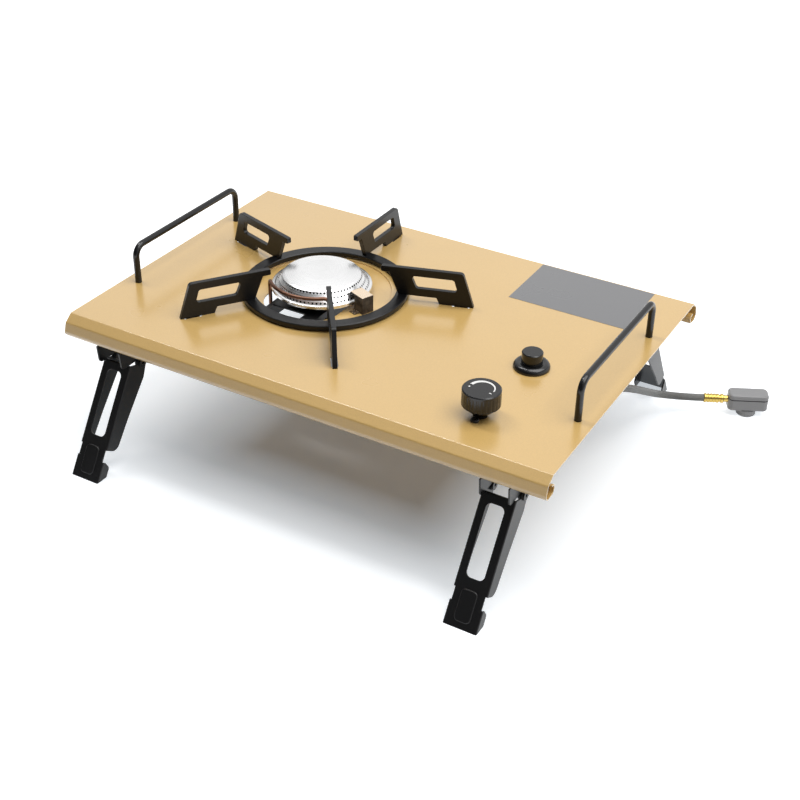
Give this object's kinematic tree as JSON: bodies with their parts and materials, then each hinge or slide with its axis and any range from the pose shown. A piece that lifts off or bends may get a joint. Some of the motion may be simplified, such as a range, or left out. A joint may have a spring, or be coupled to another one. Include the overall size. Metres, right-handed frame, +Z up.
{
  "type": "portable gas stove",
  "caption": "Camping gas stove: flat plate on folding legs, burner with lift-off pot support, rod handles, knob, igniter button, hose and regulator.",
  "frame": {"origin": "on the floor under the middle of the plate, legs open", "axes": "+X to the right seen from the knob side, +Z up, front towards -Y"},
  "size_m": [0.5746, 0.4579, 0.1807],
  "materials": {
    "sand_paint": "satin metallic sand gold",
    "black_paint": "satin black",
    "panel_print": "matt dark grey",
    "burner_steel": "bright pressed steel",
    "zinc": "zinc plated",
    "copper": "heat browned",
    "brass": "machined",
    "knob_plastic": "moulded",
    "mark_white": "printed",
    "ceramic": "glazed",
    "lead_sleeve": "sleeved",
    "hose_rubber": "braided look",
    "regulator_grey": "fine cast",
    "seal_rubber": "moulded"
  },
  "bodies": {
    "stove": {"top_plate": "sand_paint", "label_panel": "panel_print", "handle_left": "black_paint", "handle_right": "black_paint", "handle_nuts": "zinc", "burner_bracket": "black_paint", "burner_bowl": "burner_steel", "burner_cap": "burner_steel", "mixing_tube": "zinc", "jet_holder": "brass", "gas_jet": "brass", "preheat_tube": "copper", "pipe_union": "brass", "gas_pipe": "copper", "electrode_shield": "zinc", "spark_electrode": "ceramic", "spark_pin": "zinc", "ignition_lead": "lead_sleeve", "valve_body": "brass", "valve_screws": "black_paint", "igniter_bezel": "knob_plastic", "igniter_body": "knob_plastic", "igniter_nut": "knob_plastic", "igniter_spring": "zinc", "leg_bracket_front_left": "black_paint", "leg_bracket_front_right": "black_paint", "leg_bracket_rear_left": "black_paint", "leg_bracket_rear_right": "black_paint", "leg_rivets": "black_paint", "hose_nipple": "brass", "hose_ferrule_valve": "brass", "gas_hose": "hose_rubber", "hose_ferrule_regulator": "brass", "regulator_spigot": "brass", "regulator_body": "regulator_grey", "regulator_cover": "regulator_grey", "regulator_diaphragm": "seal_rubber", "canister_collar": "regulator_grey", "port_seal": "seal_rubber"},
    "knob": {"control_knob": "knob_plastic", "knob_marks": "mark_white", "valve_stem": "brass"},
    "button": {"igniter_button": "knob_plastic"},
    "pot_support": {"support_ring": "black_paint", "support_arm_1": "black_paint", "support_arm_2": "black_paint", "support_arm_3": "black_paint", "support_arm_4": "black_paint", "support_arm_5": "black_paint"},
    "leg_front_left": {"leg_front_left": "black_paint"},
    "leg_front_right": {"leg_front_right": "black_paint"},
    "leg_rear_left": {"leg_rear_left": "black_paint"},
    "leg_rear_right": {"leg_rear_right": "black_paint"}
  },
  "joints": [
    {"name": "knob_turn", "type": "hinge", "parent": "stove", "child": "knob", "pos_m": [0.1615, -0.1175, 0.15], "axis": [0, 0, 1], "range_deg": [0, 270]},
    {"name": "button_press", "type": "slide", "parent": "stove", "child": "button", "axis": [0, 0, -1], "range_m": [0, 0.005], "stiffness_N_per_m": 400, "springref_m": -0.004, "deforming": ["igniter_spring"]},
    {"name": "pot_support_lift", "type": "slide", "parent": "stove", "child": "pot_support", "axis": [0, 0, 1], "range_m": [0, 0.06]},
    {"name": "leg_front_left_fold", "type": "hinge", "parent": "stove", "child": "leg_front_left", "pos_m": [-0.2025, -0.1425, 0.0945], "axis": [1, 0, 0], "range_deg": [0, 120]},
    {"name": "leg_front_right_fold", "type": "hinge", "parent": "stove", "child": "leg_front_right", "pos_m": [0.2025, -0.1425, 0.0945], "axis": [1, 0, 0], "range_deg": [0, 120]},
    {"name": "leg_rear_left_fold", "type": "hinge", "parent": "stove", "child": "leg_rear_left", "pos_m": [-0.2025, 0.1425, 0.0945], "axis": [-1, 0, 0], "range_deg": [0, 120]},
    {"name": "leg_rear_right_fold", "type": "hinge", "parent": "stove", "child": "leg_rear_right", "pos_m": [0.2025, 0.1425, 0.0945], "axis": [-1, 0, 0], "range_deg": [0, 120]}
  ]
}
